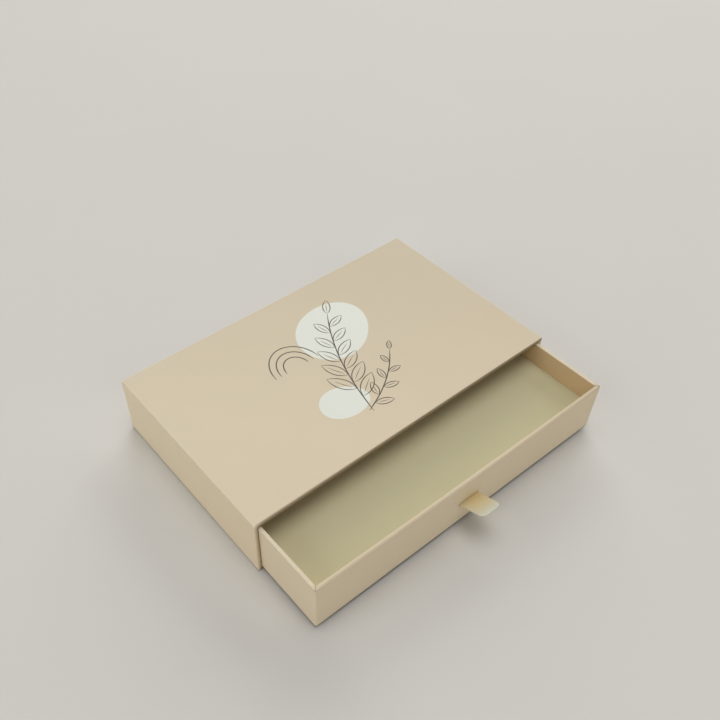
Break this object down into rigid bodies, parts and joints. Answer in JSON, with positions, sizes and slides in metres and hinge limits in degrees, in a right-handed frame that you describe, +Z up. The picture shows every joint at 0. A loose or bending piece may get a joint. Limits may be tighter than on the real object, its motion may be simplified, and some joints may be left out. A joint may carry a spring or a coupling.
{
  "type": "sliding drawer gift box",
  "caption": "Flat rigid paper-covered box: a drawer with a raised floor and a pull tab slides in a sleeve open at the front.",
  "frame": {"origin": "centre of the sleeve's underside, on the surface that the box rests on", "axes": "+Z up, -Y out of the sleeve's mouth, +X to the right seen from the front"},
  "size_m": [0.25, 0.2238, 0.0465],
  "materials": {
    "covering_paper": "matte",
    "lining_paper": "matte",
    "greyboard": "matte",
    "paper_tape": "matte",
    "khaki_sheet": "matte",
    "tab_strip": "matte"
  },
  "bodies": {
    "sleeve": {"sleeve_top_board": "greyboard", "sleeve_bottom_board": "greyboard", "sleeve_left_board": "greyboard", "sleeve_right_board": "greyboard", "sleeve_back_board": "greyboard", "sleeve_edge_tapes": "paper_tape", "sleeve_back_tapes": "paper_tape", "sleeve_wrap": "covering_paper", "sleeve_lining": "lining_paper", "sleeve_base_sheet": "covering_paper", "sleeve_back_sheet": "covering_paper"},
    "drawer": {"drawer_base_board": "greyboard", "drawer_front_board": "greyboard", "drawer_back_board": "greyboard", "drawer_left_board": "greyboard", "drawer_right_board": "greyboard", "drawer_corner_tapes": "paper_tape", "drawer_wrap": "covering_paper", "drawer_base_sheet": "lining_paper", "drawer_floor_sheet": "lining_paper", "platform_risers": "greyboard", "platform_deck": "greyboard", "platform_cover": "khaki_sheet", "pull_tab_tail": "tab_strip", "pull_tab_patch": "lining_paper"},
    "pull_tab": {"pull_tab": "tab_strip"}
  },
  "joints": [
    {"name": "drawer_slide", "type": "slide", "parent": "sleeve", "child": "drawer", "axis": [0, -1, 0], "range_m": [-0.053, 0.1]},
    {"name": "pull_tab_flex", "type": "hinge", "parent": "drawer", "child": "pull_tab", "pos_m": [0, -0.129, 0.0222], "axis": [-1, 0, 0], "range_deg": [-60, 45], "stiffness_Nm_per_rad": 0.002}
  ]
}
